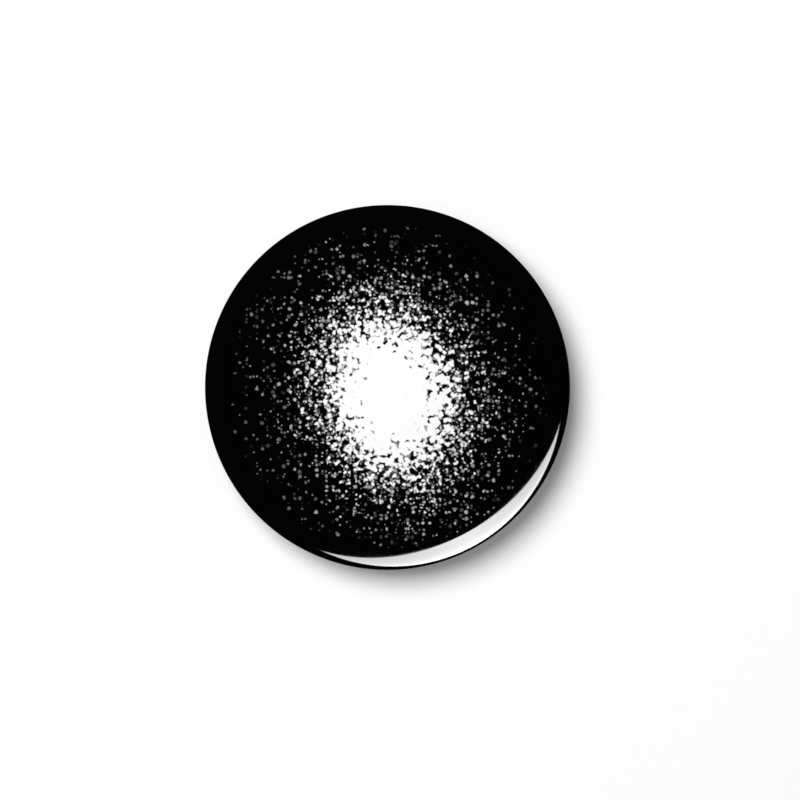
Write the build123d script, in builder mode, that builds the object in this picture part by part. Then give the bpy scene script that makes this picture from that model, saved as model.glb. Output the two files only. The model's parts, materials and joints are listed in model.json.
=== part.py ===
"""Pressed button badge with a bar pin on its back.

A tinplate shell carries a printed paper disc under a clear film. The three are wrapped round the
edge together and crimped over the flange of a closed back plate. A bar pin is riveted to the plate:
its needle swings on a hinge rivet, and its tip drops into a catch that a slotted lock turns shut.

Frame: the badge's axis is Y. The face looks along -Y, the cloth it is worn on lies on the +Y side,
+Z is up, and the origin is on the axis in the plane of the rim's rear crest. Sizes in millimetres.
"""

import os
from math import asin, cos, degrees, radians, sin, sqrt

from build123d import *

# ---- Face and wrapped edge, measured over the cover film ----
badge_radius = 19.0
dome_radius = 200.0
shoulder_radius = 2.2
side_wall = 0.7
curl_radius = 1.0
curl_set_back = 0.2
skirt_turn_in = 0.65

# ---- Layers, from the outside in ----
film_thickness = 0.1
paper_thickness = 0.12
shell_thickness = 0.28
layer_gap = 0.02

# ---- Back plate: platform, sunk ring, rolled bead and flange ----
plate_thickness = 0.3
bead_width = 1.8
recess_depth = 1.5
ring_width = 1.5
ring_drop = 0.3
ring_bend = 0.5
platform_bend = 0.6
flange_bend = 0.12
crimp_gap = 0.03
skirt_gap = 0.02
flange_gap = 0.1

# ---- Bar of the pin: a folded strip with ears at one end and a clamp at the other ----
bar_thickness = 0.6
bar_width = 4.6
bar_rise = 2.5
bar_margin = 0.4
bar_corner = 0.8
end_margin = 0.3
ear_radius = 1.1
ear_foot = 2.6
clamp_wall = 0.4
clamp_length = 2.2
clamp_foot = 2.6
clamp_opening = 110.0

# ---- Lock that turns in the clamp ----
lock_radius = 1.2
lock_clearance = 0.05
lock_flange_length = 0.5
lock_flange_gap = 0.1
lock_end_gap = 0.1
slot_clearance = 0.13
tab_angle = -60.0
tab_reach = 3.3
tab_width = 1.5
tab_thickness = 0.7

# ---- Needle ----
needle_radius = 0.45
eye_radius = 1.05
eye_thickness = 1.0
eye_side_gap = 0.1
neck_length = 1.7
point_length = 4.2
point_radius = 0.06
tip_guard = 0.25

# ---- Hinge rivet ----
hinge_pin_radius = 0.45
hinge_pin_clearance = 0.05
hinge_head_radius = 0.85
hinge_head_height = 0.35

# ---- Rivets that hold the bar to the plate ----
rivet_radius = 0.8
rivet_head_radius = 1.4
rivet_head_height = 0.3
rivet_tail_radius = 1.2
rivet_tail_height = 0.4
rivet_spacing = 9.0
rivet_hole_clearance = 0.02

# ---- Worked out: how deep each layer lies, and the wrapped profile's centres ----
film_inset = 0.0
paper_inset = film_inset + film_thickness + layer_gap
shell_inset = paper_inset + paper_thickness + layer_gap
skin_thickness = shell_inset + shell_thickness

curl_centre = (badge_radius - curl_radius, -curl_set_back - curl_radius)
shoulder_centre = (badge_radius - shoulder_radius, curl_centre[1] - side_wall)
shoulder_angle = degrees(asin(shoulder_centre[0] / (dome_radius - shoulder_radius)))
dome_centre_y = shoulder_centre[1] + (dome_radius - shoulder_radius) * cos(radians(shoulder_angle))
apex_y = dome_centre_y - dome_radius
skirt_radius = badge_radius - 2 * curl_radius
skirt_end_y = curl_centre[1] - skirt_turn_in

# ---- Worked out: back plate, whose flange fits the shell inside the crimped skirt ----
bead_outer_radius = skirt_radius - crimp_gap
bead_inner_radius = bead_outer_radius - bead_width
bead_bend = 0.49 * bead_width
platform_y = -recess_depth
platform_radius = bead_inner_radius - ring_width
flange_y = skirt_end_y - flange_bend - skirt_gap
flange_dip = max(0, shoulder_centre[1] - (flange_y - plate_thickness))
shell_inner_radius = shoulder_centre[0] + sqrt((shoulder_radius - skin_thickness) ** 2 - flange_dip**2)
flange_radius = shell_inner_radius - flange_gap

# ---- Worked out: where the needle's line runs above the bar, and the two ends of the bar ----
clamp_bore = lock_radius + lock_clearance
clamp_radius = clamp_bore + clamp_wall
bar_front_y = platform_y
bar_rear_y = bar_front_y + bar_thickness
needle_y = bar_rear_y + clamp_radius
bar_half_length = sqrt((platform_radius - bar_margin) ** 2 - (bar_rise + bar_width / 2) ** 2)

ear_gap = eye_thickness + 2 * eye_side_gap
hinge_width = ear_gap + 2 * bar_thickness
hinge_x = -(bar_half_length - ear_radius - end_margin)

lock_length = clamp_length + 2 * (lock_end_gap + lock_flange_length)
lock_end_x = bar_half_length - end_margin
lock_start_x = lock_end_x - lock_length
clamp_start_x = lock_start_x + lock_flange_length + lock_end_gap
lock_flange_radius = clamp_radius - lock_flange_gap
slot_radius = needle_radius + slot_clearance

shaft_start_x = hinge_x + neck_length
needle_tip_x = lock_end_x - tip_guard
point_start_x = needle_tip_x - point_length

rivet_middle_x = (hinge_x + lock_start_x) / 2
rivet_spots = [(rivet_middle_x + side * rivet_spacing / 2, bar_rise) for side in (-1, 1)]


def facing_front(y):
    """The sketch plane at this depth: its X is X, its Y is Z, and its normal points to the face."""
    return Plane.XZ.offset(-y)


def draw_skin(inset):
    """The half section, from the axis to the raw edge, of the surface this far under the film's."""
    CenterArc((0, dome_centre_y), dome_radius - inset, -90, shoulder_angle)
    CenterArc(shoulder_centre, shoulder_radius - inset, shoulder_angle - 90, 90 - shoulder_angle)
    Line((badge_radius - inset, shoulder_centre[1]), (badge_radius - inset, curl_centre[1]))
    CenterArc(curl_centre, curl_radius - inset, 0, 180)
    Line((skirt_radius + inset, curl_centre[1]), (skirt_radius + inset, skirt_end_y))


def draw_layer(inset, thickness):
    """The closed half section of one layer of the skin."""
    inner = inset + thickness
    draw_skin(inset)
    Line((skirt_radius + inset, skirt_end_y), (skirt_radius + inner, skirt_end_y))
    draw_skin(inner)
    Line((0, apex_y + inner), (0, apex_y + inset))


# ---- Cover film: clear polyester, the outermost layer ----
with BuildPart() as cover_film:
    with BuildSketch(Plane.XY):
        with BuildLine():
            draw_layer(film_inset, film_thickness)
        make_face()
    revolve(axis=Axis.Y)
cover_film.part.label = "cover_film"

# ---- Printed disc: the paper that carries the design ----
with BuildPart() as printed_disc:
    with BuildSketch(Plane.XY):
        with BuildLine():
            draw_layer(paper_inset, paper_thickness)
        make_face()
    revolve(axis=Axis.Y)
printed_disc.part.label = "printed_disc"

# ---- Front shell: the stamped tinplate cup ----
with BuildPart() as front_shell:
    with BuildSketch(Plane.XY):
        with BuildLine():
            draw_layer(shell_inset, shell_thickness)
        make_face()
    revolve(axis=Axis.Y)
front_shell.part.label = "front_shell"

# ---- Back plate: a stamped pan with a rolled bead, and the flange that the skirt traps ----
plate_section = [
    (0, platform_y),
    (platform_radius, platform_y),
    (platform_radius + 2 * ring_drop, platform_y - ring_drop),
    (bead_inner_radius, platform_y - ring_drop),
    (bead_inner_radius, 0),
    (bead_outer_radius, 0),
    (bead_outer_radius, flange_y),
    (flange_radius, flange_y),
]
plate_bends = [platform_bend, platform_bend, ring_bend, bead_bend, bead_bend, flange_bend]

with BuildPart() as back_plate:
    with BuildSketch(Plane.XY):
        with BuildLine():
            FilletPolyline(plate_section, radius=plate_bends)
            offset(amount=plate_thickness, side=Side.RIGHT)
        make_face()
    revolve(axis=Axis.Y)
    with BuildSketch(facing_front(platform_y)):
        with Locations(*rivet_spots):
            Circle(rivet_radius + rivet_hole_clearance)
    extrude(amount=plate_thickness, mode=Mode.SUBTRACT)
back_plate.part.label = "back_plate"

# ---- Pin bar: the strip, its folded hinge ears, and the open clamp that stands on its other end ----
with BuildPart() as pin_bar:
    wide_start = hinge_x + ear_foot / 2
    wide_end = lock_start_x - end_margin
    with BuildSketch(facing_front(bar_front_y)) as strip:
        with Locations(((wide_start + wide_end) / 2, bar_rise)):
            Rectangle(wide_end - wide_start, bar_width)
        fillet(strip.vertices(), bar_corner)
        with Locations((hinge_x - ear_foot / 2, bar_rise)):
            Rectangle(ear_foot + bar_corner, hinge_width, align=(Align.MIN, Align.CENTER))
        with Locations((wide_end - bar_corner, bar_rise)):
            end_length = bar_half_length - wide_end + bar_corner
            Rectangle(end_length, 2 * clamp_radius, align=(Align.MIN, Align.CENTER))
    extrude(amount=-bar_thickness)
    fillet(pin_bar.edges().filter_by(Axis.Y).group_by(Axis.X)[-1], bar_corner)

    # Hinge ears
    for side in (-1, 1):
        with BuildSketch(Plane.XY.offset(bar_rise + side * ear_gap / 2)):
            with Locations((hinge_x, bar_front_y)):
                Rectangle(ear_foot, bar_thickness, align=(Align.CENTER, Align.MIN))
            with Locations((hinge_x, needle_y)):
                Circle(ear_radius)
            make_hull()
        extrude(amount=side * bar_thickness)
    with BuildSketch(Plane.XY.offset(bar_rise)):
        with Locations((hinge_x, needle_y)):
            Circle(hinge_pin_radius + rivet_hole_clearance)
    extrude(amount=hinge_width, both=True, mode=Mode.SUBTRACT)

    # Clamp: a ring on a foot, open to the rear
    with BuildSketch(Plane.YZ.offset(clamp_start_x)):
        with Locations((needle_y, bar_rise)):
            Rectangle(clamp_radius + bar_thickness, clamp_foot, align=(Align.MAX, Align.CENTER))
            Circle(clamp_bore, mode=Mode.SUBTRACT)
        with BuildLine():
            wall_middle = clamp_bore + clamp_wall / 2
            CenterArc((needle_y, bar_rise), wall_middle, clamp_opening / 2, 360 - clamp_opening)
        trace(line_width=clamp_wall)
    extrude(amount=clamp_length)

    # Rivet holes
    with BuildSketch(facing_front(bar_front_y)):
        with Locations(*rivet_spots):
            Circle(rivet_radius + rivet_hole_clearance)
    extrude(amount=-bar_thickness, mode=Mode.SUBTRACT)
pin_bar.part.label = "pin_bar"

# ---- Bar rivets: low domed heads on the strip, shanks, and tails spread inside the plate ----
with BuildPart() as bar_rivets:
    with BuildSketch(facing_front(bar_rear_y)):
        with Locations(*rivet_spots):
            Circle(rivet_head_radius)
    extrude(amount=-rivet_head_height)
    fillet(bar_rivets.edges().group_by(Axis.Y)[-1], 0.8 * rivet_head_height)
    with BuildSketch(facing_front(bar_rear_y)):
        with Locations(*rivet_spots):
            Circle(rivet_radius)
    extrude(amount=bar_thickness + plate_thickness)
    with BuildSketch(facing_front(platform_y - plate_thickness)):
        with Locations(*rivet_spots):
            Circle(rivet_tail_radius)
    extrude(amount=rivet_tail_height)
    fillet(bar_rivets.edges().group_by(Axis.Y)[0], 0.5 * rivet_tail_height)
bar_rivets.part.label = "bar_rivets"

# ---- Hinge rivet: a pin across the ears with a domed head on each end ----
with BuildPart() as hinge_rivet:
    with BuildSketch(Plane.XY.offset(bar_rise - hinge_width / 2)):
        with Locations((hinge_x, needle_y)):
            Circle(hinge_pin_radius)
    extrude(amount=hinge_width)
    for side in (-1, 1):
        with BuildSketch(Plane.XY.offset(bar_rise + side * hinge_width / 2)):
            with Locations((hinge_x, needle_y)):
                Circle(hinge_head_radius)
        extrude(amount=side * hinge_head_height)
    head_rims = hinge_rivet.edges().group_by(Axis.Z)
    fillet(head_rims[0] + head_rims[-1], 0.8 * hinge_head_height)
hinge_rivet.part.label = "hinge_rivet"

# ---- Needle: a flattened eye, a tapering neck, a round shaft and a long point ----
with BuildPart() as needle:
    with BuildSketch(Plane.XY.offset(bar_rise)):
        with Locations((hinge_x, needle_y)):
            Circle(eye_radius)
    extrude(amount=eye_thickness / 2, both=True)
    with BuildSketch(Plane.YZ.offset(hinge_x + eye_radius / 2)):
        with Locations((needle_y, bar_rise)):
            RectangleRounded(1.5 * eye_radius, eye_thickness, 0.3 * eye_thickness)
    with BuildSketch(Plane.YZ.offset(shaft_start_x)):
        with Locations((needle_y, bar_rise)):
            Circle(needle_radius)
    loft()
    with BuildSketch(Plane.XY.offset(bar_rise)):
        with BuildLine():
            Line((shaft_start_x, needle_y), (shaft_start_x, needle_y + needle_radius))
            shaft = Line((shaft_start_x, needle_y + needle_radius), (point_start_x, needle_y + needle_radius))
            TangentArc(shaft @ 1, (needle_tip_x, needle_y + point_radius), tangent=shaft % 1)
            Polyline(
                (needle_tip_x, needle_y + point_radius),
                (needle_tip_x, needle_y),
                (shaft_start_x, needle_y),
            )
        make_face()
    revolve(axis=Axis((0, needle_y, bar_rise), (1, 0, 0)))
    with BuildSketch(Plane.XY.offset(bar_rise)):
        with Locations((hinge_x, needle_y)):
            Circle(hinge_pin_radius + hinge_pin_clearance)
    extrude(amount=eye_thickness, both=True, mode=Mode.SUBTRACT)
needle.part.label = "needle"

# ---- Catch lock: a slotted spool with a thumb tab, which turns in the clamp ----
with BuildPart() as catch_lock:
    with BuildSketch(Plane.YZ.offset(lock_start_x)):
        with Locations((needle_y, bar_rise)):
            Circle(lock_radius)
    extrude(amount=lock_length)
    for flange_x in (lock_start_x, lock_end_x - lock_flange_length):
        with BuildSketch(Plane.YZ.offset(flange_x)):
            with Locations((needle_y, bar_rise)):
                Circle(lock_flange_radius)
        extrude(amount=lock_flange_length)
    with BuildSketch(Plane.YZ.offset(lock_end_x - lock_flange_length)):
        with Locations(Location((needle_y, bar_rise), tab_angle)):
            SlotCenterPoint((tab_reach / 2, 0), (tab_reach - tab_width / 2, 0), tab_width)
    extrude(amount=tab_thickness)
    with BuildSketch(Plane.YZ.offset(lock_start_x)):
        with Locations((needle_y, bar_rise)):
            Circle(slot_radius)
            Rectangle(2 * lock_flange_radius, 2 * slot_radius, align=(Align.MIN, Align.CENTER))
    extrude(amount=lock_length + tab_thickness, mode=Mode.SUBTRACT)
catch_lock.part.label = "catch_lock"

# ---- Export: one file for each piece ----
os.makedirs("parts", exist_ok=True)
pieces = [
    cover_film,
    printed_disc,
    front_shell,
    back_plate,
    pin_bar,
    bar_rivets,
    hinge_rivet,
    needle,
    catch_lock,
]
for piece in pieces:
    export_step(piece.part, f"parts/{piece.part.label}.step")
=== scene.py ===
import json
import math
import random

import bmesh
import bpy
from mathutils import Matrix, Vector


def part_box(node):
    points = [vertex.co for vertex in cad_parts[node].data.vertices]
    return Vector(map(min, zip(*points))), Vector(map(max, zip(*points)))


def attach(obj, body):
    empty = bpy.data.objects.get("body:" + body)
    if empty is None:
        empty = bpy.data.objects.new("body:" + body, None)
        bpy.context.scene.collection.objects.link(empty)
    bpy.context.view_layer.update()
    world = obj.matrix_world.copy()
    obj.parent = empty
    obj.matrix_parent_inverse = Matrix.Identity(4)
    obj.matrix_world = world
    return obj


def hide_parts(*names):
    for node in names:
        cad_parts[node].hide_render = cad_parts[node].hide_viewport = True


# A pressed button badge, dressed and lit as it lies on a white card. The badge's axis is Y, its face
# looks along -Y, and the bar pin is on the +Y side. Shapes are drawn in millimetres, and every mesh is
# brought to metres as its object is made.

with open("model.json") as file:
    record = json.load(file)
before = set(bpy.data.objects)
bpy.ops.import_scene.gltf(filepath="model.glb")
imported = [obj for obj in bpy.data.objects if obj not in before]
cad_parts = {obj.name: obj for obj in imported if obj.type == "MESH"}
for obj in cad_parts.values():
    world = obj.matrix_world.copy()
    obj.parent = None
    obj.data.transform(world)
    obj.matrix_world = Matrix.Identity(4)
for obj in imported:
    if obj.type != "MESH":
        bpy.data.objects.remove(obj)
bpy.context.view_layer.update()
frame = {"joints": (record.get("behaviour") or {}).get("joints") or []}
MM = 0.001


def box_mm(node):
    """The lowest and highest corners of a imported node, in millimetres."""
    return [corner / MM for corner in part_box(node)]


# ---- Places read from the frame ----
axis_of = {joint["name"]: Vector(joint["pos_m"]) / MM for joint in frame["joints"]}
hinge = axis_of["needle_hinge"]
lock_centre = axis_of["lock_turn"]
badge_radius = box_mm("cover_film")[1].x
apex_y = box_mm("cover_film")[0].y
needle_tip_x = box_mm("needle")[1].x
bar_low, bar_high = box_mm("pin_bar")
lock_low, lock_high = box_mm("catch_lock")
rivet_low, rivet_high = box_mm("bar_rivets")

# ---- Wrapped skin: the film's outer surface, and how deep each layer lies under it ----
dome_radius = 200.0
shoulder_radius = 2.2
side_wall = 0.7
curl_radius = 1.0
curl_set_back = 0.2
skirt_turn_in = 0.65
layers = {"cover_film": (0.0, 0.1), "printed_disc": (0.12, 0.12), "front_shell": (0.26, 0.28)}
dome_steps = 24
bend_steps = 28

# ---- Steps round the lathed pieces, and the crimp pleats of the film and the paper ----
pleated_steps = 480
plain_steps = 240
small_steps = 96
pleat_count = 66
pleat_height = 0.055
pleat_spread = 0.016
pleat_turn = (40, 158)

curl_centre = (badge_radius - curl_radius, -curl_set_back - curl_radius)
shoulder_centre = (badge_radius - shoulder_radius, curl_centre[1] - side_wall)
shoulder_angle = math.degrees(math.asin(shoulder_centre[0] / (dome_radius - shoulder_radius)))
dome_centre_y = apex_y + dome_radius
skirt_radius = badge_radius - 2 * curl_radius
skirt_end_y = curl_centre[1] - skirt_turn_in

# ---- Back plate ----
plate_thickness = 0.3
plate_y = -1.5
bead_outer_radius = 16.97
bead_inner_radius = 15.17
platform_radius = 13.67
ring_drop = 0.3
ring_bend = 0.6
bead_foot_bend = 0.5
flange_bend = 0.12
flange_y = box_mm("back_plate")[0].y + plate_thickness
flange_radius = 18.31

# ---- Bar, clamp, lock, needle and rivets ----
bar_thickness = 0.6
bar_width = bar_high.z - bar_low.z
bar_top_y = plate_y + bar_thickness
bar_edge = 0.09
fold_radius = 0.42
ear_corner = 0.1
floor_corner = 0.14
hole_clearance = 0.02
ear_radius = 1.1
ear_foot = 2.6
ear_gap = 1.2
hinge_width = ear_gap + 2 * bar_thickness
clamp_bore = 1.25
clamp_wall = 0.4
clamp_length = 2.2
clamp_foot = 2.6
clamp_opening = 110.0
clamp_edge = 0.07
clamp_sink = 0.3
end_margin = 0.3
lock_radius = 1.2
lock_flange_radius = 1.55
lock_flange_length = 0.5
lock_tab_thickness = 0.7
lock_gap = 0.1
spool_sink = 0.1
flange_edge = 0.1
tab_edge = 0.16
lock_edge = 0.05
slot_radius = 0.58
tab_angle = -60.0
tab_reach = 3.3
tab_width = 1.5
needle_radius = 0.45
eye_radius = 1.05
eye_thickness = 1.0
eye_bore = 0.5
eye_edge = 0.16
eye_bore_edge = 0.06
neck_length = 1.7
point_length = 4.2
point_radius = 0.06
hinge_pin_radius = 0.45
hinge_head_radius = 0.85
hinge_head_height = 0.35
rivet_radius = 0.8
rivet_head_radius = 1.4
rivet_head_height = 0.3
rivet_tail_radius = 1.2
rivet_tail_height = 0.4

rivet_xs = (rivet_low.x + rivet_head_radius, rivet_high.x - rivet_head_radius)
lock_body_end_x = lock_high.x - lock_tab_thickness + lock_flange_length
clamp_start_x = lock_low.x + lock_flange_length + lock_gap


# ==== Outlines ====

def arc(centre, radius, start, sweep, steps):
    """Points on an arc, from its start angle in degrees through its sweep."""
    angles = [math.radians(start + sweep * i / steps) for i in range(steps + 1)]
    return [(centre[0] + radius * math.cos(a), centre[1] + radius * math.sin(a)) for a in angles]


def circle(centre, radius, steps):
    """A full circle as a closed outline of evenly spaced points."""
    return arc(centre, radius, 0, 360 - 360 / steps, steps - 1)


def tidy(points):
    """The same points without neighbours that coincide."""
    kept = [points[0]]
    for point in points[1:]:
        if math.dist(point, kept[-1]) > 1e-5:
            kept.append(point)
    return kept


def rounded(corners, radii, steps=8, closed=True):
    """A polygon, or an open line, with an arc at each corner whose radius isn't 0."""
    points = []
    last = len(corners) - 1
    for i, (corner, radius) in enumerate(zip(corners, radii)):
        if not radius or (not closed and i in (0, last)):
            points.append(corner)
            continue
        here = Vector(corner)
        back = (Vector(corners[i - 1]) - here).normalized()
        ahead = (Vector(corners[(i + 1) % len(corners)]) - here).normalized()
        half = back.angle(ahead) / 2
        centre = here + (back + ahead).normalized() * (radius / math.sin(half))
        start = here + back * (radius / math.tan(half)) - centre
        end = here + ahead * (radius / math.tan(half)) - centre
        first = math.degrees(math.atan2(start.y, start.x))
        sweep = math.degrees(math.atan2(start.x * end.y - start.y * end.x, start.dot(end)))
        points += arc(centre, radius, first, sweep, steps)
    return tidy(points)


def shifted_left(points, distance, closed=True):
    """The line moved sideways by a distance: to its left, or to its right for a negative distance."""
    count = len(points)
    moved = []
    for i, point in enumerate(points):
        here = Vector(point)
        before = Vector(points[i - 1]) if closed or i > 0 else here
        after = Vector(points[(i + 1) % count]) if closed or i < count - 1 else here
        runs = [run.normalized() for run in (here - before, after - here) if run.length > 1e-9]
        sides = [Vector((-run.y, run.x)) for run in runs]
        side = (sides[0] + sides[-1]).normalized()
        moved.append(here + side * (distance / max(0.4, side.dot(sides[0]))))
    return [tuple(point) for point in moved]


def skin_line(inset):
    """The half section (radius, y) of the surface this far under the film's, from axis to raw edge."""
    points = arc((0, dome_centre_y), dome_radius - inset, -90, shoulder_angle, dome_steps)
    turn = 90 - shoulder_angle
    points += arc(shoulder_centre, shoulder_radius - inset, shoulder_angle - 90, turn, bend_steps)
    points += [(badge_radius - inset, (shoulder_centre[1] + curl_centre[1]) / 2)]
    points += arc(curl_centre, curl_radius - inset, 0, 180, bend_steps)
    points += [(skirt_radius + inset, skirt_end_y)]
    return tidy(points)


# ==== Meshes, in millimetres ====

def grid_faces(rows, columns, wrap_rows=False, wrap_columns=True):
    """Quads between the rows and columns of a grid of vertices."""
    faces = []
    for i in range(rows if wrap_rows else rows - 1):
        for j in range(columns if wrap_columns else columns - 1):
            right = (j + 1) % columns
            upper, lower = i * columns, (i + 1) % rows * columns
            faces.append((upper + j, upper + right, lower + right, lower + j))
    return faces


def outward(mesh):
    """Turns every face of a closed mesh outward and welds vertices that coincide."""
    work = bmesh.new()
    work.from_mesh(mesh)
    bmesh.ops.remove_doubles(work, verts=work.verts, dist=1e-5)
    bmesh.ops.dissolve_degenerate(work, edges=work.edges, dist=1e-6)
    bmesh.ops.recalc_face_normals(work, faces=work.faces)
    work.to_mesh(mesh)
    work.free()
    return mesh


def lathe(outline, steps, place, shift=None):
    """A closed outline (radius, height) turned about an axis.

    place maps (radius, angle, height) to a point. shift gives an extra (radius, height) for an outline
    point's index and an angle."""
    vertices = []
    for index, (radius, height) in enumerate(outline):
        for j in range(steps):
            angle = 2 * math.pi * j / steps
            extra = shift(index, angle) if shift else (0, 0)
            vertices.append(place(radius + extra[0], angle, height + extra[1]))
    mesh = bpy.data.meshes.new("turned")
    mesh.from_pydata(vertices, [], grid_faces(len(outline), steps, wrap_rows=True))
    return outward(mesh)


def about_badge_axis(radius, angle, height):
    return (radius * math.cos(angle), height, radius * math.sin(angle))


def about_line(centre, axis):
    """A place function for an axis through a point, along Y or Z."""
    if axis == "Y":
        return lambda r, a, h: (centre[0] + r * math.cos(a), h, centre[2] + r * math.sin(a))
    return lambda r, a, h: (centre[0] + r * math.cos(a), centre[1] + r * math.sin(a), h)


def prism(outline, low, high, axis, edge=0.0, edge_steps=4):
    """A closed outline extruded along an axis from low to high, with its two rims rounded by edge."""
    turn = sum(a[0] * b[1] - a[1] * b[0] for a, b in zip(outline, outline[1:] + outline[:1]))
    inward = 1 if turn > 0 else -1
    levels = [(low, 0), (high, 0)]
    if edge:
        angles = [math.pi / 2 * i / edge_steps for i in range(edge_steps + 1)]
        rims = [(edge * (1 - math.sin(a)), edge * (1 - math.cos(a))) for a in angles]
        levels = [(low + up, shrink) for shrink, up in rims]
        levels += [(high - up, shrink) for shrink, up in reversed(rims)]
    spots = {
        "X": lambda u, v, w: (w, u, v),
        "Y": lambda u, v, w: (u, w, v),
        "Z": lambda u, v, w: (u, v, w),
    }
    vertices = []
    for level, shrink in levels:
        ring = shifted_left(outline, inward * shrink) if shrink else outline
        vertices += [spots[axis](u, v, level) for u, v in ring]
    count = len(outline)
    faces = grid_faces(len(levels), count)
    faces.append(tuple(range(count)))
    faces.append(tuple(range((len(levels) - 1) * count, len(levels) * count)))
    mesh = bpy.data.meshes.new("prism")
    mesh.from_pydata(vertices, [], faces)
    return outward(mesh)


def joined(*meshes):
    """Several closed meshes as one, left as they are."""
    work = bmesh.new()
    for mesh in meshes:
        work.from_mesh(mesh)
    whole = bpy.data.meshes.new("joined")
    work.to_mesh(whole)
    work.free()
    return whole


def in_scene(data, name="draft"):
    """A new object in the scene that holds the mesh, light or camera."""
    thing = bpy.data.objects.new(name, data)
    bpy.context.scene.collection.objects.link(thing)
    return thing


def with_modifiers(thing):
    """A mesh of the object as its modifiers leave it. The object itself is removed."""
    bpy.context.view_layer.update()
    result = bpy.data.meshes.new_from_object(thing.evaluated_get(bpy.context.evaluated_depsgraph_get()))
    bpy.data.objects.remove(thing)
    return result


def combine(first, *steps):
    """The first mesh after boolean steps, each (UNION, DIFFERENCE or INTERSECT, mesh)."""
    base = in_scene(first)
    tools = [in_scene(mesh) for _, mesh in steps]
    for (operation, _), tool in zip(steps, tools):
        step = base.modifiers.new(operation, "BOOLEAN")
        step.operation = operation
        step.solver = "EXACT"
        step.object = tool
    result = with_modifiers(base)
    for tool in tools:
        bpy.data.objects.remove(tool)
    return outward(result)


def softened(mesh, width, limit=35.0, segments=2):
    """The mesh with its sharp edges rounded over."""
    base = in_scene(mesh)
    bevel = base.modifiers.new("bevel", "BEVEL")
    bevel.width = width
    bevel.segments = segments
    bevel.limit_method = "ANGLE"
    bevel.angle_limit = math.radians(limit)
    return outward(with_modifiers(base))


def flat_faces_true(mesh, crease):
    """Smooth shading that leaves large flat faces flat and turns only over their rounded edges."""
    mesh.shade_smooth()
    mesh.set_sharp_from_angle(angle=math.radians(crease))
    base = in_scene(mesh)
    weights = base.modifiers.new("weights", "WEIGHTED_NORMAL")
    weights.keep_sharp = True
    return with_modifiers(base)


dressed = {}


def add_piece(node, mesh, body, material, crease=32.0):
    """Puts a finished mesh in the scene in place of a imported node, in metres, riding on its body."""
    mesh = flat_faces_true(mesh, crease)
    mesh.transform(Matrix.Scale(MM, 4))
    mesh.materials.clear()
    mesh.materials.append(material)
    mesh.name = node + "_dressed"
    piece = in_scene(mesh, mesh.name)
    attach(piece, body)
    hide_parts(node)
    dressed[node] = piece


# ==== Finishes ====

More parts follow.
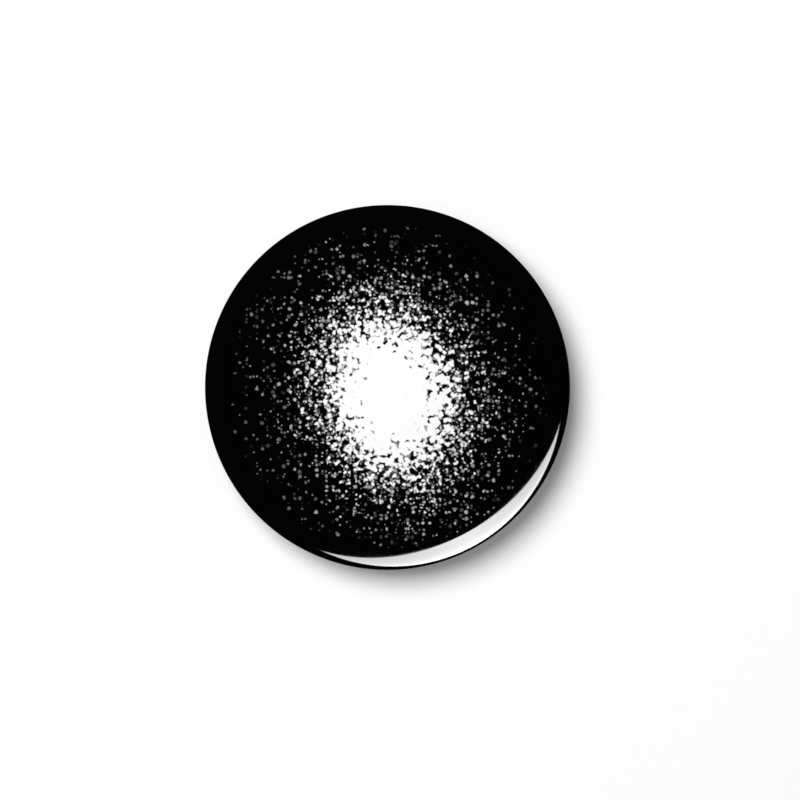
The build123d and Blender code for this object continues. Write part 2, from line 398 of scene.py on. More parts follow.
class Finish:
    """A node material, with short calls for the nodes that the finishes below are made of."""

    def __init__(self, name):
        self.material = bpy.data.materials.new(name)
        self.material.use_nodes = True
        self.tree = self.material.node_tree
        self.tree.nodes.clear()
        self.output = self.add("ShaderNodeOutputMaterial")
        self.place = self.add("ShaderNodeTexCoord").outputs["Object"]
        self.mm = self.vector("SCALE", self.place, scale=1 / MM)

    def add(self, kind, **settings):
        node = self.tree.nodes.new(kind)
        for key, value in settings.items():
            setattr(node, key, value)
        return node

    def feed(self, socket, value):
        if isinstance(value, bpy.types.NodeSocket):
            self.tree.links.new(value, socket)
        else:
            socket.default_value = value

    def math(self, operation, *values, clamp=False):
        node = self.add("ShaderNodeMath", operation=operation, use_clamp=clamp)
        for socket, value in zip(node.inputs, values):
            self.feed(socket, value)
        return node.outputs[0]

    def vector(self, operation, *values, scale=None):
        node = self.add("ShaderNodeVectorMath", operation=operation)
        for socket, value in zip(node.inputs, values):
            self.feed(socket, value)
        if scale is not None:
            self.feed(node.inputs["Scale"], scale)
        return node.outputs["Value"] if operation in ("LENGTH", "DISTANCE") else node.outputs["Vector"]

    def stretched(self, factors):
        """Millimetre coordinates, multiplied axis by axis."""
        return self.vector("MULTIPLY", self.mm, factors)

    def turned(self, angle):
        """Millimetre coordinates turned about the badge's axis."""
        node = self.add("ShaderNodeVectorRotate", rotation_type="Y_AXIS")
        self.feed(node.inputs["Vector"], self.mm)
        node.inputs["Angle"].default_value = math.radians(angle)
        return node.outputs["Vector"]

    def length(self, first, second):
        """The length of a flat vector with these two parts."""
        squares = [self.math("MULTIPLY", part, part) for part in (first, second)]
        return self.math("SQRT", self.math("ADD", *squares))

    def swing(self, value, reach):
        """A value round a half turned into one round 0, times a reach."""
        return self.math("MULTIPLY", self.math("SUBTRACT", value, 0.5), reach)

    def parts(self, vector):
        node = self.add("ShaderNodeSeparateXYZ")
        self.feed(node.inputs[0], vector)
        return node.outputs[0], node.outputs[1], node.outputs[2]

    def noise(self, coordinates, scale, detail=3.0, roughness=0.55, output="Fac"):
        node = self.add("ShaderNodeTexNoise")
        self.feed(node.inputs["Vector"], coordinates)
        self.feed(node.inputs["Scale"], scale)
        self.feed(node.inputs["Detail"], detail)
        self.feed(node.inputs["Roughness"], roughness)
        return node.outputs[output]

    def cells(self, coordinates, scale, dimensions="3D"):
        node = self.add("ShaderNodeTexVoronoi", voronoi_dimensions=dimensions)
        self.feed(node.inputs["Vector"], coordinates)
        self.feed(node.inputs["Scale"], scale)
        return node

    def span(self, value, low, high, new_low=0.0, new_high=1.0, smooth=False):
        """The value carried from one range to another, held at its ends."""
        kind = "SMOOTHSTEP" if smooth else "LINEAR"
        node = self.add("ShaderNodeMapRange", interpolation_type=kind)
        names = ("Value", "From Min", "From Max", "To Min", "To Max")
        for name, number in zip(names, (value, low, high, new_low, new_high)):
            self.feed(node.inputs[name], number)
        return node.outputs["Result"]

    def mix(self, factor, first, second, blend="MIX"):
        node = self.add("ShaderNodeMix", data_type="RGBA", blend_type=blend)
        for index, value in zip((0, 6, 7), (factor, first, second)):
            self.feed(node.inputs[index], value)
        return node.outputs[2]

    def mix_shaders(self, factor, first, second):
        node = self.add("ShaderNodeMixShader")
        for socket, value in zip(node.inputs, (factor, first, second)):
            self.feed(socket, value)
        return node.outputs[0]

    def bump(self, height, distance, strength=1.0):
        """A bump whose height is 0 to 1 of a distance in millimetres."""
        node = self.add("ShaderNodeBump")
        self.feed(node.inputs["Height"], height)
        node.inputs["Distance"].default_value = distance * MM
        node.inputs["Strength"].default_value = strength
        return node.outputs["Normal"]

    def ends_in(self, shader):
        self.feed(self.output.inputs["Surface"], shader)
        return self.material

    def surface(self, **values):
        """Ends the material with a Principled surface. Names use _ for spaces."""
        node = self.add("ShaderNodeBsdfPrincipled")
        for name, value in values.items():
            self.feed(node.inputs[name.replace("_", " ")], value)
        return self.ends_in(node.outputs[0])

    def metal(self, tone, roughness, height, depth, strength):
        """Ends the material with bare metal, whose relief is this deep in millimetres."""
        relief = self.bump(height, depth, strength)
        return self.surface(Base_Color=tone, Metallic=1.0, Roughness=roughness, Normal=relief)


def grey(level, warmth=0.0):
    """A near-neutral colour, warmer for a positive warmth."""
    return (level * (1 + warmth), level, level * (1 - warmth), 1.0)


# ---- The print: a white burst sprayed on black ----
burst_centre = (0.35, -0.85)
burst_lean = 18.0
burst_tall = 1.27
burst_radius = 6.15
burst_fade = 1.5
burst_ragged = 4.2
burst_clumps = 3.3
grain_density = 1.95
ink_black = (0.0010, 0.0008, 0.0008, 1.0)
paper_white = (0.94, 0.94, 0.935, 1.0)


def print_finish():
    """Spray grain: dots in several sizes, merged in the middle and fewer with distance from it."""
    f = Finish("sprayed_print")
    x, _, z = f.parts(f.mm)
    flat = f.add("ShaderNodeCombineXYZ")
    f.feed(flat.inputs[0], x)
    f.feed(flat.inputs[1], z)
    wobble = f.noise(flat.outputs[0], 3.2, detail=2.0, output="Color")
    wobble = f.vector("SUBTRACT", wobble, (0.5, 0.5, 0.5))
    spot = f.vector("ADD", flat.outputs[0], f.vector("SCALE", wobble, scale=0.22))

    # How far outside the burst's radius this point lies, in steps of its fade
    lean = math.radians(burst_lean)
    cosine, sine = math.cos(lean), math.sin(lean)
    off_x = f.math("SUBTRACT", x, burst_centre[0])
    off_z = f.math("SUBTRACT", z, burst_centre[1])
    across = f.math("ADD", f.math("MULTIPLY", off_x, cosine), f.math("MULTIPLY", off_z, sine))
    along = f.math("SUBTRACT", f.math("MULTIPLY", off_z, cosine), f.math("MULTIPLY", off_x, sine))
    along = f.math("DIVIDE", along, burst_tall)
    ragged = f.noise(flat.outputs[0], 0.34, detail=2.0)
    reach = f.math("ADD", f.length(across, along), f.swing(ragged, burst_ragged))
    clump = f.noise(flat.outputs[0], 1.1, detail=2.0, roughness=0.6)
    depth = f.math("DIVIDE", f.math("SUBTRACT", reach, burst_radius), burst_fade)
    depth = f.math("SUBTRACT", depth, f.swing(clump, burst_clumps))

    # Grain: soft blobs with round tops, which merge where the spray was thick
    from_middle = f.cells(spot, grain_density, "2D").outputs["Distance"]
    tops = f.math("MULTIPLY", f.math("SUBTRACT", 0.42, from_middle), 3.4)
    blobs = f.swing(f.noise(spot, 1.75, detail=1.0, roughness=0.6), 8.0)
    spread = f.math("SUBTRACT", depth, f.math("MULTIPLY", f.math("MAXIMUM", depth, 0.0), 0.2))
    spread = f.math("ADD", spread, f.math("MULTIPLY", f.math("MINIMUM", depth, 0.0), 0.4))
    white = f.span(f.math("SUBTRACT", f.math("ADD", tops, blobs), spread), -0.7, 1.0, smooth=True)

    # Far droplets, fewer and fainter further out
    for density, shift, most in ((1.8, (3.0, 9.0, 0.0), 0.7), (2.8, (5.3, 1.7, 0.0), 0.45)):
        drops = f.cells(f.vector("ADD", spot, shift), density, "2D")
        lot, tone, size = f.parts(drops.outputs["Color"])
        on = f.math("LESS_THAN", lot, f.span(reach, 5.0, 16.5, most, 0.04))
        edge = f.math("SUBTRACT", f.span(size, 0.0, 1.0, 0.2, 0.36), drops.outputs["Distance"])
        drop = f.math("MULTIPLY", f.span(edge, -0.12, 0.16, smooth=True), on)
        tone = f.math("MULTIPLY", f.math("POWER", tone, 2.0), f.span(reach, 6.0, 16.5, 1.0, 0.1))
        white = f.math("MAXIMUM", white, f.math("MULTIPLY", drop, tone))

    fibres = f.noise(f.mm, 9.0, detail=4.0, roughness=0.7)
    coat = f.span(fibres, 0.3, 0.7, 0.94, 1.0)
    ink = f.mix(white, ink_black, paper_white)
    ink = f.mix(1.0, ink, coat, blend="MULTIPLY")
    roughness = f.span(fibres, 0.25, 0.75, 0.46, 0.6)
    return f.surface(
        Base_Color=ink,
        Roughness=roughness,
        Specular_IOR_Level=0.0,
        Normal=f.bump(fibres, 0.004, strength=0.4),
    )


# ---- The film: where its black starts and is full, inward from the edge and along the axis ----
film_index = 1.62
black_inside = (2.4, 2.1)
black_from_y = (-2.0, -1.7)


def film_finish():
    """Clear polyester whose outer side mirrors by its slope. Round the rim it carries the print's black
    out to its own edge, as a clear layer does by bending light."""
    f = Finish("clear_film")
    pull = f.noise(f.stretched((0.5, 0.5, 5.0)), 0.8, detail=3.0)
    haze = f.noise(f.mm, 0.6, detail=4.0)
    normal = f.bump(pull, 0.0003, strength=0.15)
    clear = f.add("ShaderNodeBsdfTransparent")
    dark = f.add("ShaderNodeBsdfDiffuse")
    dark.inputs["Color"].default_value = ink_black
    x, y, z = f.parts(f.mm)
    start, full = (badge_radius - inside for inside in black_inside)
    rim = f.math("MAXIMUM", f.span(f.length(x, z), start, full), f.span(y, *black_from_y))
    under = f.mix_shaders(rim, clear.outputs[0], dark.outputs[0])
    gloss = f.add("ShaderNodeBsdfGlossy")
    f.feed(gloss.inputs["Roughness"], f.span(haze, 0.3, 0.7, 0.07, 0.12))
    f.feed(gloss.inputs["Normal"], normal)
    edge = f.add("ShaderNodeFresnel")
    edge.inputs["IOR"].default_value = film_index
    f.feed(edge.inputs["Normal"], normal)
    outer = f.math("SUBTRACT", 1.0, f.add("ShaderNodeNewGeometry").outputs["Backfacing"])
    mirrored = f.math("MULTIPLY", edge.outputs[0], outer)
    return f.ends_in(f.mix_shaders(mirrored, under, gloss.outputs[0]))


def tinplate_finish():
    """Bright tinplate: rolling lines, soft mottling, handling scratches and a polished bead crest."""
    f = Finish("tinplate")
    x, y, z = f.parts(f.mm)
    rolled = f.noise(f.stretched((0.25, 1.0, 22.0)), 1.0, detail=5.0, roughness=0.7)
    mottle = f.noise(f.mm, 0.55, detail=4.0, roughness=0.6)
    scratch = None
    for angle, length, threshold in ((24, 0.16, 0.715), (-37, 0.22, 0.725), (71, 0.3, 0.735)):
        along = f.vector("MULTIPLY", f.turned(angle), (length, 1.0, 11.0))
        streak = f.span(f.noise(along, 1.0, detail=1.0), threshold, threshold + 0.03)
        scratch = streak if scratch is None else f.math("MAXIMUM", scratch, streak)
    crest_radius = (bead_inner_radius + bead_outer_radius) / 2
    off_crest = f.math("ABSOLUTE", f.math("SUBTRACT", f.length(x, z), crest_radius))
    crest = f.span(off_crest, 0.15, 0.55, 1.0, 0.0, smooth=True)
    dull = f.span(y, -1.6, -0.4, 1.0, 0.0)
    tone = f.mix(f.span(mottle, 0.3, 0.7), grey(0.56, 0.02), grey(0.68, 0.01))
    tone = f.mix(f.math("MULTIPLY", crest, 0.5), tone, grey(0.78, 0.01))
    tone = f.mix(f.math("MULTIPLY", scratch, 0.5), tone, grey(0.82))
    rough = f.span(rolled, 0.25, 0.75, 0.2, 0.34)
    rough = f.math("ADD", rough, f.swing(mottle, 0.22))
    rough = f.math("SUBTRACT", rough, f.math("MULTIPLY", crest, 0.07))
    rough = f.math("ADD", rough, f.math("MULTIPLY", dull, 0.03), clamp=True)
    height = f.math("SUBTRACT", f.math("ADD", rolled, f.math("MULTIPLY", mottle, 0.8)), scratch)
    return f.metal(tone, rough, height, 0.004, 0.55)


def strip_finish():
    """Nickel-plated strip: fine lines along it, small dents and cloudy changes of tone."""
    f = Finish("plated_strip")
    lines = f.noise(f.stretched((0.5, 16.0, 16.0)), 1.0, detail=5.0, roughness=0.7)
    cloud = f.noise(f.mm, 1.1, detail=4.0)
    dents = f.cells(f.mm, 1.4).outputs["Distance"]
    dents = f.span(dents, 0.05, 0.3, smooth=True)
    tone = f.mix(f.span(cloud, 0.3, 0.7), (0.60, 0.575, 0.53, 1.0), (0.74, 0.72, 0.68, 1.0))
    rough = f.math("ADD", f.span(lines, 0.25, 0.75, 0.12, 0.24), f.span(cloud, 0.35, 0.7, -0.03, 0.08))
    height = f.math("ADD", f.math("MULTIPLY", lines, 0.6), f.math("MULTIPLY", dents, 0.5))
    return f.metal(tone, rough, height, 0.005, 0.5)


def rivet_finish():
    """Nickel-plated rivet: softly hammered, with a fine grain."""
    f = Finish("plated_rivet")
    hammer = f.noise(f.mm, 2.6, detail=3.0)
    grain = f.noise(f.mm, 14.0, detail=3.0)
    tone = f.mix(f.span(hammer, 0.3, 0.7), (0.55, 0.53, 0.49, 1.0), (0.73, 0.71, 0.67, 1.0))
    rough = f.math("ADD", f.span(grain, 0.3, 0.7, 0.16, 0.27), f.span(hammer, 0.35, 0.7, -0.02, 0.08))
    height = f.math("ADD", hammer, f.math("MULTIPLY", grain, 0.2))
    return f.metal(tone, rough, height, 0.03, 0.5)


def needle_finish():
    """Hard steel wire: draw lines along the shaft, and grinding rings round the point."""
    f = Finish("needle_wire")
    x = f.parts(f.mm)[0]
    drawn = f.noise(f.stretched((0.35, 26.0, 26.0)), 1.0, detail=4.0, roughness=0.65)
    ground = f.noise(f.stretched((15.0, 1.2, 1.2)), 1.0, detail=4.0, roughness=0.7)
    point_start = needle_tip_x - point_length
    point = f.span(x, point_start - 0.3, point_start + 0.5, smooth=True)
    shaft = f.math("SUBTRACT", 1.0, point)
    both = f.math("ADD", f.math("MULTIPLY", drawn, shaft), f.math("MULTIPLY", ground, point))
    cloud = f.noise(f.mm, 0.9, detail=3.0)
    tone = f.mix(f.span(cloud, 0.3, 0.7), grey(0.58, 0.015), grey(0.72, 0.01))
    tone = f.mix(f.math("MULTIPLY", point, 0.5), tone, grey(0.78))
    rough = f.math("ADD", f.span(both, 0.25, 0.75, 0.1, 0.2), f.span(cloud, 0.4, 0.7, 0.0, 0.05))
    return f.metal(tone, rough, both, 0.004, 0.5)


def lock_finish():
    """Plated brass: silvery, with the brass showing warm where a thumb has rubbed the tab and rims."""
    f = Finish("plated_brass")
    cloud = f.noise(f.mm, 1.3, detail=5.0, roughness=0.65)
    turned = f.noise(f.stretched((13.0, 1.5, 1.5)), 1.0, detail=3.0)
    across = f.stretched((0.0, 1.0, 1.0))
    away = f.vector("DISTANCE", across, (0.0, lock_centre.y, lock_centre.z))
    rubbed = f.math("ADD", f.span(away, 1.1, 3.2, 0.0, 0.42), f.math("SUBTRACT", cloud, 0.3))
    worn = f.span(rubbed, 0.32, 0.5, smooth=True)
    plated = f.mix(f.span(cloud, 0.3, 0.7), (0.66, 0.61, 0.52, 1.0), (0.76, 0.73, 0.66, 1.0))
    tone = f.mix(worn, plated, (0.74, 0.56, 0.29, 1.0))
    rough = f.math("ADD", f.span(turned, 0.25, 0.75, 0.14, 0.24), f.math("MULTIPLY", worn, 0.09))
    height = f.math("ADD", f.math("MULTIPLY", turned, 0.6), cloud)
    return f.metal(tone, rough, height, 0.006, 0.5)


print_material = print_finish()
film_material = film_finish()
tinplate_material = tinplate_finish()
strip_material = strip_finish()
rivet_material = rivet_finish()
needle_material = needle_finish()
lock_material = lock_finish()

# ==== The wrapped layers: film, print and shell ====

random.seed(7)
pleats = []
for i in range(pleat_count):
    pleat_middle = (i + random.uniform(-0.3, 0.3)) * 2 * math.pi / pleat_count
    pleat_share = random.uniform(0.35, 1.0)
    pleat_width = random.uniform(0.6, 1.4)
    pleats.append((pleat_middle, pleat_share, pleat_width))


def pleat_rise(angle):
    """How far the gathered layers stand off the curl at this angle, from 0 to 1."""
    rise = 0.0
    for middle, share, width in pleats:
        away = abs((angle - middle + math.pi) % (2 * math.pi) - math.pi)
        rise = max(rise, share * math.exp(-((away / (pleat_spread * width)) ** 2)))
    return rise


pleat_at = [pleat_rise(2 * math.pi * j / pleated_steps) for j in range(pleated_steps)]


def skin_mesh(inset, thickness, pleated):
    """One wrapped layer. Its pleats rise round the back of the curl and sink away at both ends of it."""
    outer, inner = skin_line(inset), skin_line(inset + thickness)
    outline = outer + list(reversed(inner))
    start, end = pleat_turn

    def gather(index, angle):
        radius, height = outline[index]
        turn = math.degrees(math.atan2(height - curl_centre[1], radius - curl_centre[0]))
        if not start < turn < end:
            return (0, 0)
        weight = math.sin(math.pi * (turn - start) / (end - start))
        nearest = round(angle * pleated_steps / (2 * math.pi)) % pleated_steps
        rise = pleat_height * weight * pleat_at[nearest]
        return (rise * math.cos(math.radians(turn)), rise * math.sin(math.radians(turn)))

    if not pleated:
        return lathe(outline, plain_steps, about_badge_axis)
    return lathe(outline, pleated_steps, about_badge_axis, shift=gather)


skins = {
    "cover_film": ("clear_film", film_material),
    "printed_disc": ("printed_paper", print_material),
    "front_shell": ("tinplate", tinplate_material),
}
for node, (slot, material) in skins.items():
    skin = skin_mesh(*layers[node], pleated=node != "front_shell")
    add_piece(node, skin, "badge", material, crease=50)

# ==== Back plate ====

bead_bend = 0.49 * (bead_outer_radius - bead_inner_radius)
plate_run = [
    (0, plate_y, 0),
    (platform_radius, plate_y, ring_bend),
    (platform_radius + 2 * ring_drop, plate_y - ring_drop, ring_bend),
    (bead_inner_radius, plate_y - ring_drop, bead_foot_bend),
    (bead_inner_radius, 0, bead_bend),
    (bead_outer_radius, 0, bead_bend),
    (bead_outer_radius, flange_y, flange_bend),
    (flange_radius, flange_y, 0),
]
plate_corners = [(radius, y) for radius, y, _ in plate_run]
plate_bends = [bend for _, _, bend in plate_run]
plate_line = rounded(plate_corners, plate_bends, steps=12, closed=False)
plate_outline = plate_line + list(reversed(shifted_left(plate_line, -plate_thickness, closed=False)))
plate = lathe(plate_outline, plain_steps, about_badge_axis)
add_piece("back_plate", plate, "badge", tinplate_material)

# ==== Pin bar: strip, folded ears and clamp ====

middle_z = hinge.z
wide_start = hinge.x + ear_foot / 2
wide_end = lock_low.x - end_margin
clamp_radius = clamp_bore + clamp_wall
strip_half = {"ear": hinge_width / 2, "wide": bar_width / 2, "end": clamp_radius}
strip_run = [
    (bar_low.x, "ear", 0.2),
    (wide_start, "ear", 0.35),
    (wide_start, "wide", 0.7),
    (wide_end, "wide", 0.38),
    (wide_end, "end", 0.24),
    (bar_high.x, "end", 0.8),
]
strip_corners = [(x, middle_z - strip_half[part]) for x, part, _ in strip_run]
strip_corners += [(x, middle_z + strip_half[part]) for x, part, _ in reversed(strip_run)]
strip_radii = [radius for _, _, radius in strip_run]
strip_outline = rounded(strip_corners, strip_radii + strip_radii[::-1])
strip = prism(strip_outline, plate_y, bar_top_y, "Y", edge=bar_edge)


def u_channel():
    """The folded end: a floor and two ears, in section across the bar."""
    half, inner, top = hinge_width / 2, ear_gap / 2, hinge.y + ear_radius
    corners = [
        (plate_y, middle_z - half),
        (top, middle_z - half),
        (top, middle_z - inner),
        (bar_top_y, middle_z - inner),
        (bar_top_y, middle_z + inner),
        (top, middle_z + inner),
        (top, middle_z + half),
        (plate_y, middle_z + half),
    ]
    radii = [fold_radius, ear_corner, ear_corner, floor_corner]
    outline = rounded(corners, radii + radii[::-1], steps=6)
    return prism(outline, hinge.x - ear_foot, hinge.x + ear_foot, "X")


def ear_side():
    """The ears seen along the hinge's axis: a foot that narrows to a round head."""
    foot = ear_foot / 2
    drop = hinge.y - plate_y
    lean = math.degrees(math.atan2(drop, foot))
    reach = math.hypot(drop, foot)
    first = -lean + math.degrees(math.acos(ear_radius / reach))
    points = [(hinge.x - foot, plate_y), (hinge.x + foot, plate_y)]
    points += arc((hinge.x, hinge.y), ear_radius, first, 180 - 2 * first, 32)
    half = hinge_width / 2
    return prism(tidy(points), middle_z - half, middle_z + half, "Z", edge=bar_edge)


def round_bar(centre, radius, low, high, axis, steps=48):
    """A plain round tool for bores and holes."""
    return prism(circle(centre, radius, steps), low, high, axis)


def clamp():
    """A ring on a foot, open to the rear so that the needle can enter."""
    centre = (lock_centre.y, lock_centre.z)
    foot_y = bar_top_y - clamp_sink
    wall_middle = clamp_bore + clamp_wall / 2
    gap = clamp_opening / 2
    foot_half = clamp_foot / 2
    meets = 180 - math.degrees(math.asin(foot_half / clamp_radius))
    outline = arc(centre, clamp_radius, gap, meets - gap, 20)
    outline += [(foot_y, centre[1] + foot_half), (foot_y, centre[1] - foot_half)]
    outline += arc(centre, clamp_radius, -meets, meets - gap, 20)
    lip_y = centre[0] + wall_middle * math.cos(math.radians(gap))
    lip_z = wall_middle * math.sin(math.radians(gap))
    outline += arc((lip_y, centre[1] - lip_z), clamp_wall / 2, -gap, 180, 10)[1:-1]
    outline += arc(centre, clamp_bore, -gap, gap * 2 - 360, 64)
    outline += arc((lip_y, centre[1] + lip_z), clamp_wall / 2, gap - 180, 180, 10)[1:-1]
    return prism(tidy(outline), clamp_start_x, clamp_start_x + clamp_length, "X", edge=clamp_edge)


ears = combine(u_channel(), ("INTERSECT", ear_side()))
pin_hole_radius = hinge_pin_radius + hole_clearance
pin_hole = round_bar(hinge.xy, pin_hole_radius, middle_z - hinge_width, middle_z + hinge_width, "Z")
bar_steps = [("UNION", ears), ("UNION", clamp()), ("DIFFERENCE", pin_hole)]
rivet_hole_radius = rivet_radius + hole_clearance
for rivet_x in rivet_xs:
    hole = round_bar((rivet_x, middle_z), rivet_hole_radius, plate_y - 0.5, bar_top_y + 0.5, "Y")
    bar_steps.append(("DIFFERENCE", hole))
add_piece("pin_bar", combine(strip, *bar_steps), "badge", strip_material)

# ==== Rivets ====

def domed(radius, height, base, toward, steps=14):
    """Outline points of a low dome on a short rim, from its rim at base to its top on the axis."""
    rim = 0.3 * height
    points = [(radius, base), (radius, base + toward * rim)]
    for i in range(1, steps + 1):
        angle = math.pi / 2 * i / steps
        across = radius * math.cos(angle) ** 0.8 if i < steps else 0.0
        points.append((across, base + toward * (rim + (height - rim) * math.sin(angle) ** 0.75)))
    return points


def rivet_outline():
    """Tail under the plate, shank, and domed head on the strip."""
    plate_under = plate_y - plate_thickness
    tail = domed(rivet_tail_radius, rivet_tail_height, plate_under, -1)
    head = domed(rivet_head_radius, rivet_head_height, bar_top_y, 1)
    return list(reversed(tail)) + [(rivet_radius, plate_under), (rivet_radius, bar_top_y)] + head


rivets = [lathe(rivet_outline(), small_steps, about_line((x, 0, middle_z), "Y")) for x in rivet_xs]
add_piece("bar_rivets", joined(*rivets), "badge", rivet_material)

pin_low, pin_high = middle_z - hinge_width / 2, middle_z + hinge_width / 2
pin_outline = list(reversed(domed(hinge_head_radius, hinge_head_height, pin_low, -1)))
pin_outline += [(hinge_pin_radius, pin_low), (hinge_pin_radius, pin_high)]
pin_outline += domed(hinge_head_radius, hinge_head_height, pin_high, 1)
hinge_pin = lathe(pin_outline, small_steps, about_line(hinge, "Z"))
add_piece("hinge_rivet", hinge_pin, "badge", rivet_material)

# ==== Needle ====

def needle_body():
    """Neck, shaft and point as one run of cross-sections along X.

    Each station holds x, the two half widths and a power: 2 for a round section, more for a squarer one."""
    start = hinge.x + eye_radius / 2
    shaft_start = hinge.x + neck_length
    point_start = needle_tip_x - point_length
    around, neck_steps, point_steps, tip_steps = 64, 18, 32, 5
    stations = []
    for i in range(neck_steps + 1):
        t = i / neck_steps
        ease = t * t * (3 - 2 * t)
        wide = 0.75 * eye_radius * (1 - ease) + needle_radius * ease
        deep = 0.5 * eye_thickness * (1 - ease) + needle_radius * ease
        stations.append((start + (shaft_start - start) * t, wide, deep, 5 - 3 * ease))
    stations.append((point_start, needle_radius, needle_radius, 2))
    for i in range(1, point_steps + 1):
        t = i / point_steps
        radius = needle_radius - (needle_radius - point_radius) * t * t
        stations.append((point_start + (point_length - point_radius) * t, radius, radius, 2))
    for i in range(1, tip_steps):
        angle = math.pi / 2 * i / tip_steps
        radius = point_radius * math.cos(angle)
        stations.append((needle_tip_x - point_radius * (1 - math.sin(angle)), radius, radius, 2))
    vertices = []
    for x, wide, deep, power in stations:
        for j in range(around):
            angle = 2 * math.pi * j / around
            c, s = math.cos(angle), math.sin(angle)
            y = hinge.y + wide * math.copysign(abs(c) ** (2 / power), c)
            z = middle_z + deep * math.copysign(abs(s) ** (2 / power), s)
            vertices.append((x, y, z))
    faces = grid_faces(len(stations), around)
    faces += [tuple(range(around)), tuple(range((len(stations) - 1) * around, len(stations) * around))]
    mesh = bpy.data.meshes.new("needle")
    mesh.from_pydata(vertices, [], faces)
    return outward(mesh)


def eye():
    """The flattened eye, a ring with rounded rims."""
    half = eye_thickness / 2
    corners = [(eye_bore, -half), (eye_radius, -half), (eye_radius, half), (eye_bore, half)]
    outline = rounded(corners, [eye_bore_edge, eye_edge, eye_edge, eye_bore_edge], steps=6)
    return lathe([(r, middle_z + h) for r, h in outline], small_steps, about_line(hinge, "Z"))


add_piece("needle", combine(needle_body(), ("UNION", eye())), "needle", needle_material)

# ==== Catch lock ====

def lock_mesh():
    """A slotted spool between two flanges, with a thumb tab on the outer one."""
    centre = (lock_centre.y, lock_centre.z)

    def disc(radius, low, high, edge):
        return prism(circle(centre, radius, small_steps), low, high, "X", edge=edge)

    spool = disc(lock_radius, lock_low.x + spool_sink, lock_body_end_x - spool_sink, 0.0)
    near_end, far_start = lock_low.x + lock_flange_length, lock_body_end_x - lock_flange_length
    near = disc(lock_flange_radius, lock_low.x, near_end, flange_edge)
    far = disc(lock_flange_radius, far_start, lock_body_end_x, flange_edge)
    half = tab_width / 2
    tab = arc((tab_reach - half, 0), half, -90, 180, 28) + arc((half, 0), half, 90, 180, 28)
    turn = Matrix.Rotation(math.radians(tab_angle), 2)
    tab = [tuple(Vector(centre) + turn @ Vector(point)) for point in tab]
    tab = prism(tidy(tab), lock_high.x - lock_tab_thickness, lock_high.x, "X", edge=tab_edge)
    rear = lock_flange_radius + 1
    slot = arc((0, 0), slot_radius, 90, 180, 24) + [(rear, -slot_radius), (rear, slot_radius)]
    slot = [(centre[0] + u, centre[1] + v) for u, v in slot]
    slot = prism(slot, lock_low.x - 1, lock_high.x + 1, "X")
    return combine(spool, ("UNION", near), ("UNION", far), ("UNION", tab), ("DIFFERENCE", slot))


add_piece("catch_lock", softened(lock_mesh(), lock_edge), "lock", lock_material)

# ==== Stage, in metres: a white card standing on a pale floor ====

card_y = 2.9 * MM
card_side_x = 0.6
card_top_z = 0.6
floor_z = -60 * MM
floor_reach = 2


def stage_piece(name, corners, material):
    """One flat surface of the set, which isn't part of the object."""
    mesh = bpy.data.meshes.new(name)
    mesh.from_pydata(corners, [], [tuple(range(len(corners)))])
    mesh.materials.append(material)
    surface = in_scene(mesh, name)
    return surface


def card_finish():
    """White card from its front, nothing from behind, so that the badge's back can be seen."""
    f = Finish("white_card")
    white = f.add("ShaderNodeBsdfDiffuse")
    tooth = f.noise(f.mm, 0.4, detail=3.0)
    f.feed(white.inputs["Color"], f.mix(tooth, grey(0.90), grey(0.92)))
    clear = f.add("ShaderNodeBsdfTransparent")
    side = f.add("ShaderNodeNewGeometry")
    return f.ends_in(f.mix_shaders(side.outputs["Backfacing"], white.outputs[0], clear.outputs[0]))


def floor_finish():
    f = Finish("pale_floor")
    tooth = f.noise(f.mm, 0.05, detail=3.0)
    tone = f.mix(tooth, grey(0.80), grey(0.84))
    return f.surface(Base_Color=tone, Roughness=0.9, Specular_IOR_Level=0.1)


card_corners = [
    (-card_side_x, card_y, floor_z),
    (card_side_x, card_y, floor_z),
    (card_side_x, card_y, card_top_z),
    (-card_side_x, card_y, card_top_z),
]
card = stage_piece("card", card_corners, card_finish())
card.visible_shadow = False
card.visible_glossy = False
card.visible_transmission = False
floor_sides = [(-1, -1), (1, -1), (1, 1), (-1, 1)]
floor_corners = [(floor_reach * x, floor_reach * y, floor_z) for x, y in floor_sides]
floor = stage_piece("floor", floor_corners, floor_finish())
floor.visible_glossy = False
floor.visible_diffuse = False

# ==== Light ====

def receivers(name, *objects):
    """A collection that limits what a light falls on."""
    group = bpy.data.collections.new(name)
    for thing in objects:
        group.objects.link(thing)
    return group


film_pieces = receivers("film_pieces", dressed["cover_film"])
skin_names = ("cover_film", "printed_disc")
metals = [piece for name, piece in dressed.items() if name not in skin_names]
metal_pieces = receivers("metal_pieces", *metals)
face_side = receivers("face_side", card, *dressed.values())
floor_only = receivers("floor_only", floor)


def softbox(name, direction, distance, size, power, only, in_gloss=True):
    """A disc light in a direction from the badge, facing it. It falls on one collection only."""
    data = bpy.data.lights.new(name, "AREA")
    data.shape = "DISK"
    data.size = size
    data.energy = power
    lamp = in_scene(data, name)
    lamp.location = Vector(direction).normalized() * distance
    lamp.rotation_mode = "QUATERNION"
    lamp.rotation_quaternion = Vector(direction).to_track_quat("Z", "Y")
    lamp.visible_glossy = in_gloss
    lamp.light_linking.receiver_collection = only


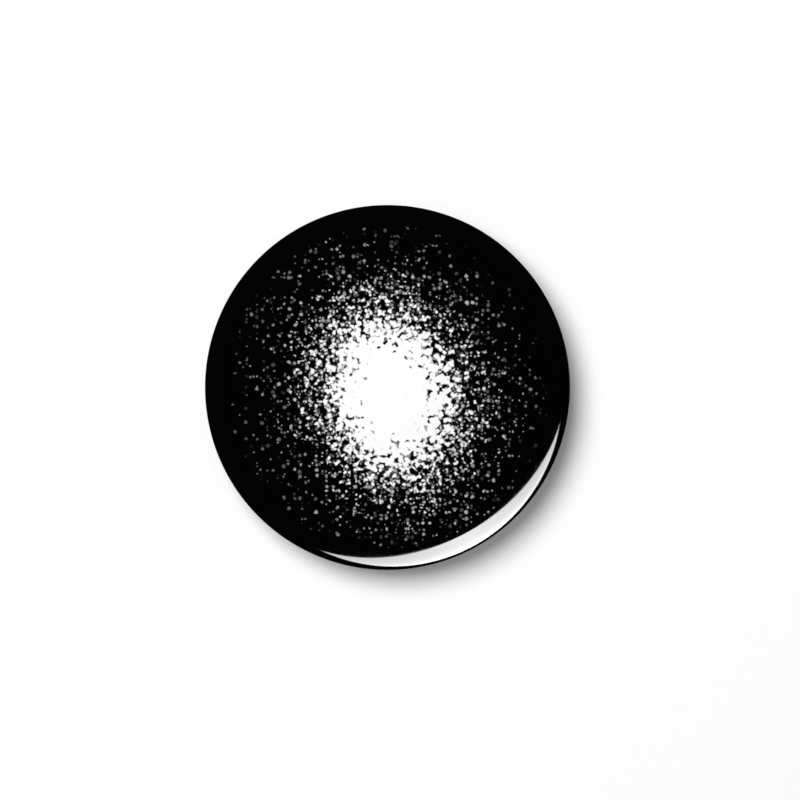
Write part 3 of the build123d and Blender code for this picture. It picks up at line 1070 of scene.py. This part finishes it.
key_tilt = math.radians(22.5)
key_side = math.sin(key_tilt) / math.sqrt(2)
key_direction = (-key_side, -math.cos(key_tilt), key_side)
softbox("key", key_direction, 0.6, 0.32, 3.4, only=face_side, in_gloss=False)
softbox("rear_top", (-0.5, 0.55, 0.9), 0.6, 0.36, 1.3, only=metal_pieces)
softbox("rear_side", (0.95, 0.5, 0.0), 0.6, 0.24, 0.7, only=metal_pieces)
softbox("rear_wide", (0.55, 1, -0.35), 0.8, 0.55, 1.0, only=metal_pieces)
softbox("rear_mid", (0.12, 1, 0.22), 0.8, 0.5, 0.6, only=metal_pieces)
softbox("rear_curl", (0.0, 1, 0.0), 0.8, 0.22, 0.12, only=film_pieces)

overhead = bpy.data.lights.new("overhead", "SUN")
overhead.energy = 2.2
overhead.angle = math.radians(50)
sun = in_scene(overhead, "overhead")
sun.light_linking.receiver_collection = floor_only

# A curved strip of light low on the right, which the film's shoulder mirrors as a bright crescent
crescent_middle = 62.0
crescent_half = 50.0
crescent_strength = 19.0
crescent_end_share = 0.6
crescent_tilt = 85
crescent_inward = 64
crescent_outward = 36


def crescent_light():
    """A patch of a large sphere in front of the badge, seen only in reflections."""
    distance, across, around = 0.5, 24, 60
    vertices = []
    for j in range(around + 1):
        off = crescent_half * (2 * j / around - 1)
        swell = math.cos(math.radians(90 * off / crescent_half))
        near = crescent_tilt - crescent_inward * swell
        far = crescent_tilt + crescent_outward * swell
        turn = math.radians(crescent_middle + off)
        for i in range(across + 1):
            tilt = math.radians(near + (far - near) * i / across)
            side = distance * math.sin(tilt)
            vertices.append((side * math.cos(turn), -distance * math.cos(tilt), -side * math.sin(turn)))
    mesh = bpy.data.meshes.new("crescent_light")
    mesh.from_pydata(vertices, [], grid_faces(around + 1, across + 1, wrap_columns=False))
    f = Finish("crescent_glow")
    x, _, z = f.parts(f.place)
    turned = f.math("MULTIPLY", f.math("ARCTAN2", f.math("MULTIPLY", z, -1.0), x), 180 / math.pi)
    off = f.math("ABSOLUTE", f.math("SUBTRACT", turned, crescent_middle))
    glow = f.add("ShaderNodeEmission")
    end_strength = crescent_end_share * crescent_strength
    f.feed(glow.inputs["Strength"], f.span(off, 0, crescent_half, crescent_strength, end_strength))
    mesh.materials.append(f.ends_in(glow.outputs[0]))
    patch = in_scene(mesh, "crescent_light")
    patch.visible_camera = False
    patch.visible_diffuse = False
    patch.visible_shadow = False
    patch.light_linking.receiver_collection = film_pieces


crescent_light()

world = bpy.data.worlds.new("soft_room")
bpy.context.scene.world = world
world.use_nodes = True
tree = world.node_tree
tree.nodes.clear()
path = tree.nodes.new("ShaderNodeLightPath")
world_out = tree.nodes.new("ShaderNodeOutputWorld")


def backdrop(color, strength=1.0):
    node = tree.nodes.new("ShaderNodeBackground")
    node.inputs["Color"].default_value = color
    node.inputs["Strength"].default_value = strength
    return node.outputs[0]


def by_ray(kind, others, these):
    """One backdrop for rays of a kind, and another for the others."""
    node = tree.nodes.new("ShaderNodeMixShader")
    tree.links.new(path.outputs[kind], node.inputs[0])
    tree.links.new(others, node.inputs[1])
    tree.links.new(these, node.inputs[2])
    return node.outputs[0]


# The room lights the badge softly, looks pale to the camera, and is dark in the gloss
soft_room = by_ray("Is Camera Ray", backdrop(grey(1.0), 0.33), backdrop(grey(0.88)))
soft_room = by_ray("Is Glossy Ray", soft_room, backdrop((0.006, 0.005, 0.005, 1.0)))
tree.links.new(soft_room, world_out.inputs["Surface"])

# ==== Camera ====

camera_data = bpy.data.cameras.new("camera")
camera_data.sensor_width = 36
camera_data.lens = 150
camera_data.clip_start = 0.01
camera_data.clip_end = 10
camera = in_scene(camera_data, "camera")
camera_distance = 0.349
view_offset = 1.304 * MM
camera.location = (view_offset, -camera_distance, -view_offset)
camera.rotation_euler = (math.pi / 2, 0, 0)
bpy.context.scene.camera = camera
bpy.context.scene.view_settings.view_transform = "Standard"
